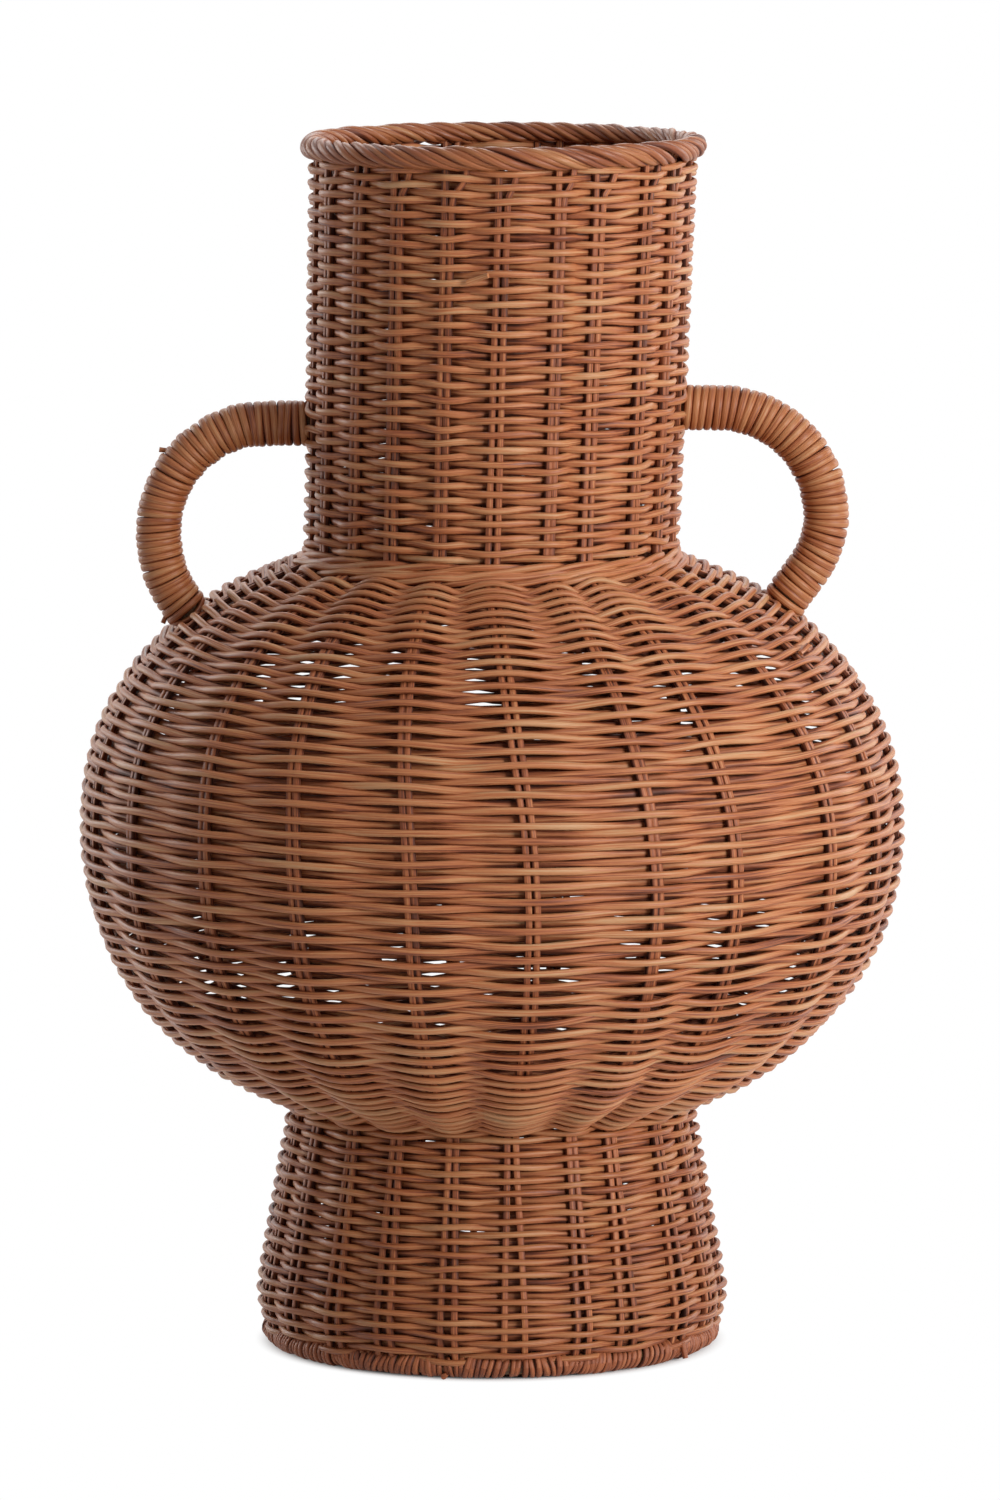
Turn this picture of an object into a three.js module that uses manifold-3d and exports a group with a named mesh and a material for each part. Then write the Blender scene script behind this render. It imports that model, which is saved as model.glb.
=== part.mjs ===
// Woven rattan vase on a flared foot, with a long neck and two wrapped handles.
// Millimetres, +Z up, origin on the floor at the centre of the foot.
import * as THREE from 'three';
import { mergeVertices } from 'three/addons/utils/BufferGeometryUtils.js';
import Module from 'manifold-3d';

const wasm = await Module();
wasm.setup();

// Fits
const CLEARANCE = 0.3; // between pieces that touch
const JOINT_TRIM = 0.2; // taken off each of two weaves that meet at a joint

// Stakes and weave
const STAKE_COUNT = 22; // pairs of canes round the vase
const CANE = 2.4; // width of one stake cane
const PAIR_GAP = 0.4; // between the two canes of a pair
const STAKE_TWIST = 5.5; // degrees that the stakes turn from the neck to the widest line
const WALL = 7; // weave thickness: outer strand, stake and inner strand
const STAKE_DEPTH = 1.2; // of the stakes below the strands that pass them
const WEAVE_DIP = 2.3; // how far the weave falls in between two stakes, where its strands cross

// Outline of the weave, outer faces
const HEIGHT = 440; // floor to the top of the rolled rim
const NECK_TOP_RADIUS = 70.6;
const NECK_FOOT_RADIUS = 68.6;
const NECK_LEAN = 1.7; // degrees that the neck leans to the right of the body
const BODY_RADIUS = 150.2;
const BELLY_HEIGHT = 189.5; // of the widest line above the floor
const SHOULDER_RISE = 108; // from the widest line to the body's closed top
const UNDERBELLY_DROP = 114.5; // from the widest line to the body's closed bottom
const BODY_FULLNESS = 2.18; // 2 is an ellipse, more is squarer
const BODY_STEPS = 11; // facets down the body
const WAIST_RADIUS = 74.5;
const FOOT_RADIUS = 86.8; // at the foot's widest line
const FOOT_WIDEST_HEIGHT = 17;
const FOOT_TUCK = 2; // how far the foot draws in below that line

// Rolled rim
const RIM_ROLL = 10; // diameter of the roll
const RIM_OVERHANG = 2.8; // how far the roll stands out over the neck
const RIM_LOBES = 6; // strands round the roll's section
const RIM_GROOVE = 0.9; // depth between two strands of the roll
const RIM_STRANDS_PER_STAKE = 2;

// Foot hoop, its binding and the floor
const HOOP_CANE = 6; // diameter of the bare hoop
const BINDING = 1.5; // thickness of the binding round the hoop
const BINDING_DIP = 0.5; // how much thinner the binding is at a stake
const BINDING_DIP_WIDTH = 0.4; // share of the way between stakes that the dip takes
const BINDING_INSET = 5.5; // hoop's centre line, in from the foot's bottom edge
const BINDING_SLOT = 50; // degrees of the hoop's section that the binding leaves open
const BINDING_SLOT_FACING = 135; // degrees, inwards and up, to the floor
const STANDING_FLAT = 0.5; // depth of the flat that the vase stands on
const FLOOR_THICKNESS = 5;
const FLOOR_CROWN = 3; // rise of the floor at its middle

// Handles
const HANDLE_CORE = 11; // diameter of the bent cane
const LEFT_HANDLE_LANDING = 0.733; // share of the body's radius, where the lower end meets the shoulder
const RIGHT_HANDLE_LANDING = 0.706;
const LEFT_HANDLE_BULGE = 10.4; // from the landing out to the outermost core centre
const RIGHT_HANDLE_BULGE = 14.8;
const HANDLE_BULGE_RISE = 30.3; // from the landing up to the outermost core centre
const HANDLE_BULGE_PULL = 12; // how far the core runs on straight below that point
const LEFT_HANDLE_RISE = 37.7; // from the outermost core centre up to the level top
const RIGHT_HANDLE_RISE = 40.6;
const LEFT_HANDLE_BEND = 38; // from the outermost core centre in to the end of the bend
const RIGHT_HANDLE_BEND = 41;
const HANDLE_STUB = 6; // straight length of the core outside the weave
const HANDLE_SETBACK = 1; // core's cut end, short of the weave's inner face
const WRAP_LOOPS = 24;
const WRAP_GAP = 0.75; // between two loops, along the core
const WRAP_THICKNESS = 2;
const WRAP_END_GAP = 0.6; // between the wrapping and the weave
const HANDLES = [
  {
    name: 'left', side: -1, landingShare: LEFT_HANDLE_LANDING, bulge: LEFT_HANDLE_BULGE,
    rise: LEFT_HANDLE_RISE, bend: LEFT_HANDLE_BEND,
  },
  {
    name: 'right', side: 1, landingShare: RIGHT_HANDLE_LANDING, bulge: RIGHT_HANDLE_BULGE,
    rise: RIGHT_HANDLE_RISE, bend: RIGHT_HANDLE_BEND,
  },
];

// Facets
const CORE_SIDES = 8;
const CORE_STEPS = 20;
const HOOP_SIDES = 6;
const BINDING_STEPS = 8;
const LOOP_STEPS = 8;

// Sizes that follow from the ones above
const TURN = Math.PI * 2;
const STAKE_ANGLE = TURN / STAKE_COUNT;
const FULL_TWIST = THREE.MathUtils.degToRad(STAKE_TWIST);
const GROOVE_WIDTH = 2 * CANE + PAIR_GAP + 2 * CLEARANCE;
const GROOVE_DEPTH = STAKE_DEPTH + CANE + CLEARANCE;
const BOUND_RADIUS = HOOP_CANE / 2 + CLEARANCE + BINDING;
const FOOT_EDGE_RADIUS = FOOT_RADIUS - FOOT_TUCK;
const HOOP_RADIUS = FOOT_EDGE_RADIUS - BINDING_INSET;
const HOOP_HEIGHT = BOUND_RADIUS - STANDING_FLAT;
const FOOT_HEIGHT = HOOP_HEIGHT + BOUND_RADIUS + CLEARANCE;
const NECK_TOP = HEIGHT - RIM_ROLL - CLEARANCE;
const NECK_SLOPE = Math.tan(THREE.MathUtils.degToRad(NECK_LEAN));

const rattan = new THREE.MeshStandardMaterial({ color: 0xb27348, roughness: 0.5, metalness: 0 });
const stakeCane = new THREE.MeshStandardMaterial({ color: 0x9c5f3b, roughness: 0.5, metalness: 0 });
const wrapCane = new THREE.MeshStandardMaterial({ color: 0xb9794c, roughness: 0.45, metalness: 0 });
const poleCane = new THREE.MeshStandardMaterial({ color: 0x8a6a42, roughness: 0.55, metalness: 0 });

const vase = new THREE.Group();

function addPiece(name, geometry, material) {
  const piece = new THREE.Mesh(leaned(geometry), material);
  piece.name = name;
  vase.add(piece);
}

// Whatever is above the foot of the neck leans with it
function leaned(geometry) {
  const points = geometry.attributes.position;
  for (let i = 0; i < points.count; i++) {
    const above = Math.max(points.getZ(i) - neckFootHeight, 0);
    points.setX(i, points.getX(i) + above * NECK_SLOPE);
  }
  return geometry;
}

// A closed mesh from points and triangles, with its faces turned outwards
function closedMesh(points, triangles) {
  const corner = (i) => points[i];
  const volume = triangles.reduce((sum, [a, b, c]) => {
    return sum + corner(a).dot(new THREE.Vector3().crossVectors(corner(b), corner(c)));
  }, 0);
  const outward = volume < 0 ? triangles.map(([a, b, c]) => [a, c, b]) : triangles;
  const geometry = new THREE.BufferGeometry().setFromPoints(points);
  geometry.setIndex(outward.flat());
  return geometry;
}

// A skin over rings of equal length. An open skin is capped at both ends;
// a closed one joins its last ring to its first, turned on by some points.
function loft(rings, closed, turnedOn = 0) {
  const count = rings[0].length;
  const triangles = [];
  const spans = closed ? rings.length : rings.length - 1;
  for (let ring = 0; ring < spans; ring++) {
    const last = ring === rings.length - 1;
    const here = ring * count;
    const next = last ? 0 : here + count;
    const shift = last ? turnedOn : 0;
    for (let i = 0; i < count; i++) {
      const j = (i + 1) % count;
      const across = next + ((i + shift) % count);
      const acrossNext = next + ((j + shift) % count);
      triangles.push([here + i, here + j, acrossNext], [here + i, acrossNext, across]);
    }
  }
  if (!closed) {
    const end = (rings.length - 1) * count;
    for (let i = 1; i < count - 1; i++) {
      triangles.push([0, i + 1, i], [end, end + i, end + i + 1]);
    }
  }
  return closedMesh(rings.flat(), triangles);
}

// A copy with nothing but shared points and triangles
function bareMesh(geometry) {
  const bare = geometry.clone();
  bare.deleteAttribute('normal');
  bare.deleteAttribute('uv');
  return mergeVertices(bare);
}

// A solid for cutting, from a closed mesh
function solidOf(geometry) {
  const merged = bareMesh(geometry);
  return new wasm.Manifold(new wasm.Mesh({
    numProp: 3,
    vertProperties: new Float32Array(merged.attributes.position.array),
    triVerts: new Uint32Array(merged.index.array),
  }));
}

function cutAway(geometry, cutters) {
  const cut = cutters.reduce((solid, cutter) => solid.subtract(solidOf(cutter)), solidOf(geometry));
  const mesh = cut.getMesh();
  const result = new THREE.BufferGeometry();
  result.setAttribute('position', new THREE.BufferAttribute(mesh.vertProperties, 3));
  result.setIndex(new THREE.BufferAttribute(mesh.triVerts, 1));
  return result;
}

// Outline: a point of the rounded body, by its angle above the widest line
function bodyPoint(angle) {
  const power = 2 / BODY_FULLNESS;
  const rise = angle > 0 ? SHOULDER_RISE : UNDERBELLY_DROP;
  const radius = BODY_RADIUS * Math.cos(angle) ** power;
  const climb = Math.sign(angle) * rise * Math.abs(Math.sin(angle)) ** power;
  return new THREE.Vector2(radius, BELLY_HEIGHT + climb);
}

function bodyAngle(radius) {
  return Math.acos((radius / BODY_RADIUS) ** (BODY_FULLNESS / 2));
}

function outwardNormal(upper, lower) {
  const down = lower.clone().sub(upper).normalize();
  return new THREE.Vector2(-down.y, down.x);
}

// The outline from the rim down to the foot. Each station has its outer point,
// how far the stakes have turned round the vase there, and the way out through
// the wall, mitred where the outline bends.
function outline() {
  const top = bodyAngle(NECK_FOOT_RADIUS);
  const bottom = -bodyAngle(WAIST_RADIUS);
  const spots = [{ point: new THREE.Vector2(NECK_TOP_RADIUS, NECK_TOP), twist: 0 }];
  const neckJoint = spots.length;
  for (let step = 0; step <= BODY_STEPS; step++) {
    const angle = THREE.MathUtils.lerp(top, bottom, step / BODY_STEPS);
    const share = Math.min((top - angle) / top, 1);
    spots.push({ point: bodyPoint(angle), twist: FULL_TWIST * share });
  }
  const waistJoint = spots.length - 1;
  spots.push({ point: new THREE.Vector2(FOOT_RADIUS, FOOT_WIDEST_HEIGHT), twist: FULL_TWIST });
  spots.push({ point: new THREE.Vector2(FOOT_EDGE_RADIUS, FOOT_HEIGHT), twist: FULL_TWIST });
  const stations = spots.map(({ point, twist }, i) => {
    const above = i > 0 ? outwardNormal(spots[i - 1].point, point) : null;
    const below = i < spots.length - 1 ? outwardNormal(point, spots[i + 1].point) : null;
    if (!above || !below) {
      return { point, twist, out: new THREE.Vector2(1 / (above ?? below).x, 0) };
    }
    const out = above.clone().add(below).divideScalar(1 + above.dot(below));
    return { point, twist, out };
  });
  return { stations, neckJoint, waistJoint };
}

// A place in the wall: some way in from the outer face, and beside a stake's middle
function wallPoint(station, stake, inwards, sideways) {
  const angle = (stake + 0.5) * STAKE_ANGLE + station.twist;
  const spot = station.point.clone().addScaledVector(station.out, -inwards);
  return new THREE.Vector3(
    spot.x * Math.cos(angle) - sideways * Math.sin(angle),
    spot.x * Math.sin(angle) + sideways * Math.cos(angle),
    spot.y,
  );
}

// One stretch of weave: a shell with a groove in its outer face for every stake,
// which falls in between the stakes
function weaveGeometry(stations) {
  const half = GROOVE_WIDTH / 2;
  const places = [
    [0, 0, -half], [0, GROOVE_DEPTH, -half], [0, GROOVE_DEPTH, half], [0, 0, half],
    [0, WALL, 0], [0.5, WEAVE_DIP, 0],
  ]; // each a share of the way to the next stake, a way in and a way aside
  const [leftEdge, leftRoot, rightRoot, rightEdge, inner, valley] = places.keys();
  const points = [];
  for (const station of stations) {
    for (let stake = 0; stake < STAKE_COUNT; stake++) {
      for (const [share, inwards, sideways] of places) {
        points.push(wallPoint(station, stake + share, inwards, sideways));
      }
    }
  }
  const at = (ring, [stake, place]) => {
    return (ring * STAKE_COUNT + (stake % STAKE_COUNT)) * places.length + place;
  };
  const triangles = [];
  const lastRing = stations.length - 1;
  for (let stake = 0; stake < STAKE_COUNT; stake++) {
    const next = stake + 1;
    const walls = [
      [[stake, leftEdge], [stake, leftRoot]],
      [[stake, leftRoot], [stake, rightRoot]],
      [[stake, rightRoot], [stake, rightEdge]],
      [[stake, rightEdge], [stake, valley]],
      [[stake, valley], [next, leftEdge]],
      [[next, inner], [stake, inner]],
    ];
    for (let ring = 0; ring < lastRing; ring++) {
      for (const [from, to] of walls) {
        const [low, lowNext] = [at(ring + 1, from), at(ring + 1, to)];
        const [high, highNext] = [at(ring, from), at(ring, to)];
        triangles.push([low, lowNext, highNext], [low, highNext, high]);
      }
    }
    const ends = [
      [[stake, inner], [stake, leftRoot], [stake, rightRoot]],
      [[stake, inner], [stake, rightRoot], [stake, valley]],
      [[stake, rightRoot], [stake, rightEdge], [stake, valley]],
      [[stake, inner], [stake, valley], [next, inner]],
      [[stake, valley], [next, leftRoot], [next, inner]],
      [[stake, valley], [next, leftEdge], [next, leftRoot]],
    ];
    for (const corners of ends) {
      triangles.push(corners.map((corner) => at(0, corner)));
      triangles.push(corners.map((corner) => at(lastRing, corner)).reverse());
    }
  }
  return closedMesh(points, triangles);
}

// A station moved along the outline towards its neighbour
function trimmed(station, neighbour) {
  const along = neighbour.point.clone().sub(station.point).normalize();
  return { ...station, point: station.point.clone().addScaledVector(along, JOINT_TRIM) };
}

// Stake canes lie in pairs in the grooves, from the hoop to the rim
function caneGeometry(stations, stake, side) {
  const centre = side * (CANE + PAIR_GAP) / 2;
  const rings = stations.map((station) => [
    wallPoint(station, stake, STAKE_DEPTH, centre - CANE / 2),
    wallPoint(station, stake, STAKE_DEPTH, centre + CANE / 2),
    wallPoint(station, stake, STAKE_DEPTH + CANE, centre + CANE / 2),
    wallPoint(station, stake, STAKE_DEPTH + CANE, centre - CANE / 2),
  ]);
  return loft(rings, false);
}

// A point round a ring that lies level: its angle round the vase, the ring's
// radius and height, and a place in the ring's own section
function ringPoint(around, radius, height, sectionAngle, sectionRadius) {
  const out = radius + sectionRadius * Math.cos(sectionAngle);
  const up = height + sectionRadius * Math.sin(sectionAngle);
  return new THREE.Vector3(out * Math.cos(around), out * Math.sin(around), up);
}

// Rolled rim: a rope of lobes, each lobe going over and down the outside
function rimGeometry() {
  const pointsRound = 2 * RIM_LOBES;
  const steps = 2 * RIM_STRANDS_PER_STAKE * STAKE_COUNT;
  const radius = NECK_TOP_RADIUS + RIM_OVERHANG - RIM_ROLL / 2;
  const rings = [];
  for (let step = 0; step < steps; step++) {
    const ring = [];
    for (let i = 0; i < pointsRound; i++) {
      const sectionAngle = (i - step) * TURN / pointsRound;
      const dip = i % 2 === 0 ? 0 : RIM_GROOVE;
      const around = step * TURN / steps;
      ring.push(ringPoint(around, radius, HEIGHT - RIM_ROLL / 2, sectionAngle, RIM_ROLL / 2 - dip));
    }
    rings.push(ring);
  }
  const turnedOn = (pointsRound - (steps % pointsRound)) % pointsRound;
  return loft(rings, true, turnedOn);
}

// Angles round the hoop where its facets change: at a stake, and on either side
// of the full binding between two stakes
function hoopStops() {
  const stops = [];
  for (let stake = 0; stake < STAKE_COUNT; stake++) {
    const at = (stake + 0.5) * STAKE_ANGLE + FULL_TWIST;
    const clear = STAKE_ANGLE * BINDING_DIP_WIDTH / 2;
    stops.push({ around: at, dip: BINDING_DIP });
    stops.push({ around: at + clear, dip: 0 });
    stops.push({ around: at + STAKE_ANGLE - clear, dip: 0 });
  }
  return stops;
}

// Bare hoop that the stakes start from
function hoopGeometry() {
  const rings = hoopStops().map(({ around }) => {
    const ring = [];
    for (let i = 0; i < HOOP_SIDES; i++) {
      ring.push(ringPoint(around, HOOP_RADIUS, HOOP_HEIGHT, i * TURN / HOOP_SIDES, HOOP_CANE / 2));
    }
    return ring;
  });
  return loft(rings, true);
}

// Binding round the hoop: a sleeve drawn in at each stake, open towards the
// floor and flat underneath
function bindingGeometry() {
  const slot = THREE.MathUtils.degToRad(BINDING_SLOT);
  const slotEnd = THREE.MathUtils.degToRad(BINDING_SLOT_FACING) + slot / 2;
  const boreRadius = (HOOP_CANE / 2 + CLEARANCE) / Math.cos(Math.PI / BINDING_STEPS);
  const rings = hoopStops().map(({ around, dip }) => {
    const outer = [];
    const bore = [];
    for (let i = 0; i < BINDING_STEPS; i++) {
      const angle = slotEnd + (TURN - slot) * i / (BINDING_STEPS - 1);
      outer.push(ringPoint(around, HOOP_RADIUS, HOOP_HEIGHT, angle, BOUND_RADIUS - dip));
      bore.unshift(ringPoint(around, HOOP_RADIUS, HOOP_HEIGHT, angle, boreRadius));
    }
    outer.forEach((point) => point.setZ(Math.max(point.z, 0)));
    return [...outer, ...bore];
  });
  return loft(rings, true);
}

// Woven floor, crowned in the middle, lying on the bound hoop inside the foot
function floorGeometry() {
  const edge = (FOOT_EDGE_RADIUS - WALL - CLEARANCE) * Math.cos(STAKE_ANGLE / 2);
  const section = [
    new THREE.Vector2(0, FOOT_HEIGHT + FLOOR_CROWN),
    new THREE.Vector2(edge - HOOP_CANE, FOOT_HEIGHT),
    new THREE.Vector2(edge, FOOT_HEIGHT),
    new THREE.Vector2(edge, FOOT_HEIGHT + FLOOR_THICKNESS),
    new THREE.Vector2(0, FOOT_HEIGHT + FLOOR_THICKNESS + FLOOR_CROWN),
  ];
  return new THREE.LatheGeometry(section, 2 * STAKE_COUNT).rotateX(Math.PI / 2);
}

// Route of a handle's core, from inside the neck out, down and into the shoulder
function handleRoute(handle) {
  const curveShare = 0.5523; // control length of a quarter ellipse
  const nudge = 0.001; // radians to either side of the landing, for the slope there
  const spot = (out, up) => new THREE.Vector3(handle.side * out, 0, up);
  const landingAngle = bodyAngle(BODY_RADIUS * handle.landingShare);
  const landing = bodyPoint(landingAngle);
  const normal = outwardNormal(bodyPoint(landingAngle + nudge), bodyPoint(landingAngle - nudge));
  const reach = landing.x + handle.bulge;
  const bulgeHeight = landing.y + HANDLE_BULGE_RISE;
  const topHeight = bulgeHeight + handle.rise;
  const neckRun = (topHeight - neckFootHeight) / (NECK_TOP - neckFootHeight);
  const neckRadius = THREE.MathUtils.lerp(NECK_FOOT_RADIUS, NECK_TOP_RADIUS, neckRun);
  const stubTop = landing.clone().addScaledVector(normal, HANDLE_STUB);
  const lowerPull = stubTop.clone().addScaledVector(normal, HANDLE_STUB);
  const seat = WALL - HANDLE_SETBACK;
  const lowerEnd = landing.clone().addScaledVector(normal, -seat);
  const bendStart = reach - handle.bend;
  const bulge = spot(reach, bulgeHeight);
  const route = new THREE.CurvePath();
  route.add(new THREE.LineCurve3(spot(neckRadius - seat, topHeight), spot(bendStart, topHeight)));
  route.add(new THREE.CubicBezierCurve3(
    spot(bendStart, topHeight),
    spot(bendStart + handle.bend * curveShare, topHeight),
    spot(reach, bulgeHeight + handle.rise * curveShare),
    bulge,
  ));
  route.add(new THREE.CubicBezierCurve3(
    bulge,
    spot(reach, bulgeHeight - HANDLE_BULGE_PULL),
    spot(lowerPull.x, lowerPull.y),
    spot(stubTop.x, stubTop.y),
  ));
  route.add(new THREE.LineCurve3(spot(stubTop.x, stubTop.y), spot(lowerEnd.x, lowerEnd.y)));
  return { route, seat };
}

function coreGeometry(route, radius) {
  const section = new THREE.Shape();
  for (let i = 0; i < CORE_SIDES; i++) {
    const angle = i * TURN / CORE_SIDES;
    const move = i === 0 ? 'moveTo' : 'lineTo';
    section[move](radius * Math.cos(angle), radius * Math.sin(angle));
  }
  section.closePath();
  const options = { steps: CORE_STEPS, bevelEnabled: false, extrudePath: route };
  return bareMesh(new THREE.ExtrudeGeometry(section, options));
}

// Handle wrapping: one strand wound round the core, edge to edge
function wrapRings({ route, seat }) {
  const length = route.getLength();
  const start = seat + WRAP_END_GAP;
  const pitch = (length - 2 * start) / (WRAP_LOOPS + 1);
  const half = (pitch - WRAP_GAP) / 2;
  const within = (HANDLE_CORE / 2 + CLEARANCE) / Math.cos(Math.PI / LOOP_STEPS);
  const shoulder = within + WRAP_THICKNESS / 2;
  const crest = within + WRAP_THICKNESS;
  const section = [[-half, within], [half, within], [half, shoulder], [0, crest], [-half, shoulder]];
  const rings = [];
  for (let step = 0; step <= WRAP_LOOPS * LOOP_STEPS; step++) {
    const turns = step / LOOP_STEPS;
    const middle = start + pitch * (turns + 0.5);
    rings.push(section.map(([along, radius]) => {
      const share = (middle + along) / length;
      const centre = route.getPointAt(share);
      const across = new THREE.Vector3(0, 1, 0);
      const outwards = new THREE.Vector3().crossVectors(route.getTangentAt(share), across);
      const angle = turns * TURN;
      return centre
        .addScaledVector(outwards, radius * Math.cos(angle))
        .addScaledVector(across, radius * Math.sin(angle));
    }));
  }
  return rings;
}

// Least distance between points of neighbouring loops
function leastLoopGap(rings) {
  let least = Infinity;
  for (let step = LOOP_STEPS; step < rings.length; step++) {
    for (let back = LOOP_STEPS - 1; back <= LOOP_STEPS + 1; back++) {
      for (const point of rings[step]) {
        for (const other of rings[step - back] ?? []) {
          least = Math.min(least, point.distanceTo(other));
        }
      }
    }
  }
  return least;
}

const { stations, neckJoint, waistJoint } = outline();
const neckFootHeight = stations[neckJoint].point.y;

const handleRoutes = HANDLES.map((handle) => ({ ...handle, ...handleRoute(handle) }));
const handleHoles = handleRoutes.map(({ route }) => coreGeometry(route, HANDLE_CORE / 2 + CLEARANCE));

const neckStations = [stations[0], trimmed(stations[neckJoint], stations[0])];
const bodyStations = [
  trimmed(stations[neckJoint], stations[neckJoint + 1]),
  ...stations.slice(neckJoint + 1, waistJoint),
  trimmed(stations[waistJoint], stations[waistJoint - 1]),
];
const footStations = [
  trimmed(stations[waistJoint], stations[waistJoint + 1]),
  ...stations.slice(waistJoint + 1),
];

addPiece('neck_weave', cutAway(weaveGeometry(neckStations), handleHoles), rattan);
addPiece('body_weave', cutAway(weaveGeometry(bodyStations), handleHoles), rattan);
addPiece('foot_weave', weaveGeometry(footStations), rattan);
addPiece('rolled_rim', rimGeometry(), rattan);
addPiece('foot_hoop', hoopGeometry(), poleCane);
addPiece('hoop_binding', bindingGeometry(), wrapCane);
addPiece('woven_floor', floorGeometry(), rattan);

for (let stake = 0; stake < STAKE_COUNT; stake++) {
  const number = String(stake + 1).padStart(2, '0');
  addPiece(`stake_${number}_a`, caneGeometry(stations, stake, -1), stakeCane);
  addPiece(`stake_${number}_b`, caneGeometry(stations, stake, 1), stakeCane);
}

for (const handle of handleRoutes) {
  const rings = wrapRings(handle);
  addPiece(`${handle.name}_handle_core`, coreGeometry(handle.route, HANDLE_CORE / 2), poleCane);
  addPiece(`${handle.name}_handle_wrap`, loft(rings, false), wrapCane);
  console.log(`${handle.name} handle wrap: least gap ${leastLoopGap(rings).toFixed(2)} mm`);
}

export default vase;
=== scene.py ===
"""A woven rattan vase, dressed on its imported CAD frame. Metres, +Z up, front towards -Y."""
import math

import bpy
import numpy as np
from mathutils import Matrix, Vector


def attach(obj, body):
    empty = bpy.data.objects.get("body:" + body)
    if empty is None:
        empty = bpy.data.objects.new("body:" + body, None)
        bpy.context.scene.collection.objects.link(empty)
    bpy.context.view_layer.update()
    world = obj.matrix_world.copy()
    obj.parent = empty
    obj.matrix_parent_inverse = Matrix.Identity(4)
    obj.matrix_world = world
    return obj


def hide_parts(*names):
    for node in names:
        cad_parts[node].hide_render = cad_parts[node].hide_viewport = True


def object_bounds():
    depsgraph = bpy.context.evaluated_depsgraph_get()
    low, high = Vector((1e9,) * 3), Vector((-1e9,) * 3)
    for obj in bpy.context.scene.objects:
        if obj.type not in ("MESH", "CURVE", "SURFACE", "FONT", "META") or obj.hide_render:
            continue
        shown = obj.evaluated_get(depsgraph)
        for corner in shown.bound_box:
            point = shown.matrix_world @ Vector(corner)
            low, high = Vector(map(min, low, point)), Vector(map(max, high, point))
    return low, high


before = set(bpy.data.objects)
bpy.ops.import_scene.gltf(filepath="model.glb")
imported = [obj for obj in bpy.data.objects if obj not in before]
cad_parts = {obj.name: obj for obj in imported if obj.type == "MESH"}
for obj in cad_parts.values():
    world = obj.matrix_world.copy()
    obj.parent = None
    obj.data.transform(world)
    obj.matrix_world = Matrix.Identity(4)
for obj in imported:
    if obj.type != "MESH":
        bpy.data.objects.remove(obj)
cad_low, cad_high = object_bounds()
rng = np.random.default_rng(seed=22)

MM = 0.001
TURN = 2 * math.pi

# Weave
ROW_PITCH = 2.62 * MM  # between two rows, down the wall
FOOT_ROW_PITCH = 2.43 * MM
ROWS_PAST_FOOT = 4.5 * MM  # how far the rows go on below the wall, over the foot hoop
STRAND_THICK = 2.3 * MM
NECK_STRAND = 2.5 * MM  # height of a strand outside a stake
BODY_STRAND = 2.6 * MM
FOOT_STRAND = 2.2 * MM
STRAND_BETWEEN = 1.1  # height between two stakes, by the row pitch
STRAND_INSIDE = 1.75  # height inside a stake, where strands flatten against one another
STRAND_VARIES = 0.04  # share by which a strand is thicker or thinner than usual
STRAND_SQUARENESS = 2.2  # 2 is an ellipse, more is squarer
STRAND_SIDES = 8
STEPS_PER_STAKE = 8
SEAM_STAKE = 5  # the stake at the back where the ends of a row meet
ROW_WOBBLE = 0.19 * MM  # how far a row strays by itself
ROW_SWING = 0.05  # share by which its way in and out varies
DIP = 2.2  # 1 is an even wave, more dips to the inside only near the stakes
LOBES = 0.45 * MM  # how far the weave swells at the stakes, most where the wall slopes

# Ripples: the fewest and the most waves in a turn
ROW_WAVES = (3, 24)
SWING_WAVES = (2, 16)
STAKE_WAVES = (3, 11)
SWAY_WAVES = (2, 9)
SLANT_WAVES = (3, 16)

# Slow waves by which neighbouring rows stray together
ROW_DRIFT = 1 * MM  # when all of them meet
DRIFT_WAVES = 14
DRIFT_IN_TURN = (2, 15)  # waves in a turn: from the first number up, below the second
DRIFT_LENGTHS = (25 * MM, 90 * MM)  # of a wave down the wall

# Open places in the weave
GAPS = 34
GAP_OPENINGS = (0.4 * MM, 1.3 * MM)
GAP_LENGTHS = (4.5 * MM, 12.6 * MM)
GAPS_BELOW_JOINT = 15 * MM  # wall without gaps below the joint of neck and body
GAPS_ABOVE_FOOT = 30 * MM  # wall without gaps at the bottom
HANDLE_OPENING = 6.4 * MM
HANDLE_OPENING_LENGTH = 7 * MM

# Stakes
CANE = 2.6 * MM
CANE_THICK = 2.2 * MM
CANE_SQUARENESS = 4.5
CANE_SIDES = 12
CANE_STEP = 4 * MM
CANE_SPARE = 5 * MM  # of cane above the neck and below the foot
CANE_OUT = 0.4 * MM  # how far the canes lie to the outside of the wall
CANE_SWAY = 0.12 * MM  # how far a cane sways in and out
CANE_SWAY_RATE = 20  # radians of its ripple in a metre
PAIR_GAP = 0.05 * MM
STAKE_STRAY = 0.045  # share of the way to the next stake
FOOT_SPLAYS = (0, 2.64 * MM)  # how far the canes of a pair go aside at the foot
RIM_LEANS = (2.25 * MM, 5.4 * MM)  # how far one cane of a pair leans over under the rim
RIM_LEAN_LENGTH = 9 * MM

# Waling at the joint of neck and body
WALE_OVER = 4  # stakes that one wave of a waling strand takes
WALE_RISE = 2.8 * MM  # how far it goes up and down
WALE_BANDS = 3 * MM  # between its two bands
WALE_SHARPNESS = 2  # how fast a strand goes through the wall
WALE_OUTSIDE = 0.5  # 0 is outside for half of a wave, more is longer

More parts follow.
